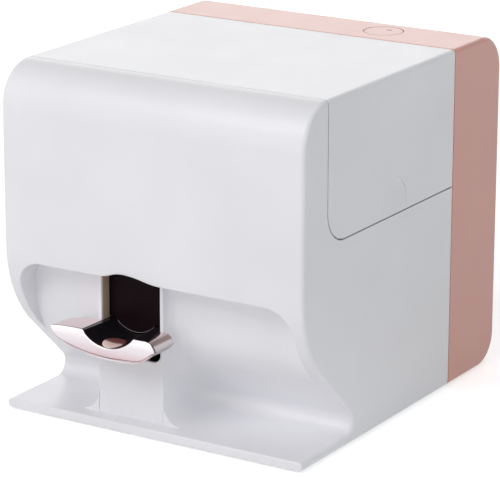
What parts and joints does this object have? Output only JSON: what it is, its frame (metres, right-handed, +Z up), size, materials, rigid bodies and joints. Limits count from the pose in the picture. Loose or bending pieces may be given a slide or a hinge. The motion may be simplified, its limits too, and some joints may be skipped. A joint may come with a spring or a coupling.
{
  "type": "nail art printer",
  "caption": "Desktop nail art printer with a sprung finger rest, a side-hinged lid, a power button and an inkjet carriage on a small gantry inside.",
  "frame": {"origin": "centre of the bounding box's bottom face, on the table between the rubber feet", "axes": "+X to the right seen from the front, -Y out of the front where the finger goes in, +Z up"},
  "size_m": [0.194, 0.234, 0.2],
  "materials": {
    "white_shell": "satin white",
    "pink_shell": "satin pale pink",
    "lever_pink": "pearl pink",
    "cradle_black": "glossy black",
    "pad_pink": "matte rose",
    "door_maroon": "tinted dark red",
    "skirt_rubber": "soft dark red",
    "grey_plastic": "matte",
    "black_plastic": "matte",
    "foot_rubber": "matte",
    "screw_steel": "zinc plated",
    "polished_steel": "ground and polished",
    "spring_steel": "drawn wire",
    "sheet_steel": "galvanised sheet",
    "motor_steel": "satin",
    "magnet": "nickel plated",
    "brass_part": "turned",
    "aluminium_part": "turned",
    "belt_rubber": "matte",
    "strip_film": "clear film with fine lines",
    "cartridge_plastic": "fine texture",
    "latch_plastic": "satin blue",
    "camera_plastic": "matte",
    "lens_glass": "coated",
    "circuit_board": "solder mask",
    "seal_rubber": "soft matte",
    "felt": "felt",
    "chip_plastic": "moulded",
    "light_pipe": "frosted"
  },
  "bodies": {
    "machine": {"front_housing": "white_shell", "rear_cover": "pink_shell", "base_plate": "grey_plastic", "rubber_feet": "foot_rubber", "base_screws": "screw_steel", "chassis_screws": "screw_steel", "lid_hinge_pins": "polished_steel", "housing_magnet": "magnet", "inner_tray": "black_plastic", "finger_frame": "sheet_steel", "guide_rods": "polished_steel", "lift_springs": "spring_steel", "side_frames": "sheet_steel", "rear_frame": "sheet_steel", "y_guide_rods": "polished_steel", "y_motor": "motor_steel", "cap_station": "grey_plastic", "cap_seal": "seal_rubber", "wiper_blade": "seal_rubber", "waste_ink_pad": "felt", "main_board": "circuit_board", "board_components": "chip_plastic", "wireless_module": "motor_steel", "board_screws": "screw_steel", "dc_jack": "cradle_black", "button_spring": "spring_steel", "switch_board": "circuit_board", "button_switch": "chip_plastic"},
    "lid": {"lid": "white_shell", "lid_magnet": "magnet"},
    "finger_lever": {"lever_bezel": "lever_pink", "lever_body": "lever_pink", "lever_screws": "screw_steel", "finger_cradle": "cradle_black", "finger_pad": "pad_pink", "cradle_bracket": "grey_plastic"},
    "finger_door": {"finger_door": "door_maroon", "door_skirt": "skirt_rubber"},
    "power_button": {"power_button": "pink_shell", "button_light_pipe": "light_pipe"},
    "gantry": {"left_block": "black_plastic", "right_block": "black_plastic", "lead_nut": "brass_part", "gantry_beam": "sheet_steel", "x_guide_rods": "polished_steel", "x_motor": "motor_steel", "idler_shaft": "polished_steel", "drive_belt": "belt_rubber", "encoder_strip": "strip_film"},
    "lead_screw": {"lead_screw": "polished_steel"},
    "carriage": {"carriage": "black_plastic", "ink_cartridge": "cartridge_plastic", "nozzle_plate": "brass_part", "latch_pin": "polished_steel", "camera_module": "camera_plastic", "camera_lens": "lens_glass", "lamp_board": "circuit_board"},
    "cartridge_latch": {"cartridge_latch": "latch_plastic"},
    "motor_pulley": {"motor_pulley": "aluminium_part"},
    "idler_pulley": {"idler_pulley": "aluminium_part"}
  },
  "joints": [
    {"name": "lid_hinge", "type": "hinge", "parent": "machine", "child": "lid", "pos_m": [-0.0947, -0.01, 0.1876], "axis": [0, -1, 0], "range_deg": [0, 95]},
    {"name": "finger_rest_slide", "type": "slide", "parent": "machine", "child": "finger_lever", "axis": [0, 0, -1], "range_m": [0, 0.006], "stiffness_N_per_m": 400, "springref_m": -0.004, "deforming": ["lift_springs"]},
    {"name": "door_hinge", "type": "hinge", "parent": "machine", "child": "finger_door", "pos_m": [-0.01875, -0.0875, 0.0945], "axis": [1, 0, 0], "range_deg": [0, 55]},
    {"name": "power_button_press", "type": "slide", "parent": "machine", "child": "power_button", "axis": [0, 0, -1], "range_m": [0, 0.0015], "stiffness_N_per_m": 900, "springref_m": -0.001, "deforming": ["button_spring"]},
    {"name": "gantry_y", "type": "slide", "parent": "machine", "child": "gantry", "axis": [0, -1, 0], "range_m": [0, 0.03]},
    {"name": "lead_screw_turn", "type": "hinge", "parent": "machine", "child": "lead_screw", "pos_m": [0.075, 0.035, 0.1], "axis": [0, -1, 0], "range_deg": [0, 2160.02]},
    {"name": "carriage_x", "type": "slide", "parent": "gantry", "child": "carriage", "axis": [-1, 0, 0], "range_m": [0, 0.076]},
    {"name": "motor_pulley_turn", "type": "hinge", "parent": "gantry", "child": "motor_pulley", "pos_m": [-0.055, 0.0544, 0.116], "axis": [0, -1, 0], "range_deg": [0, 791.74]},
    {"name": "idler_pulley_turn", "type": "hinge", "parent": "gantry", "child": "idler_pulley", "pos_m": [0.055, 0.0544, 0.116], "axis": [0, -1, 0], "range_deg": [0, 791.74]},
    {"name": "latch_hinge", "type": "hinge", "parent": "carriage", "child": "cartridge_latch", "pos_m": [0.046, 0.041, 0.142], "axis": [-1, 0, 0], "range_deg": [0, 55]}
  ],
  "couplings": [
    {"joint": "lead_screw_turn", "follows": "gantry_y", "rad_per_m": 1256.6},
    {"joint": "motor_pulley_turn", "follows": "carriage_x", "rad_per_m": 181.82},
    {"joint": "idler_pulley_turn", "follows": "carriage_x", "rad_per_m": 181.82}
  ]
}
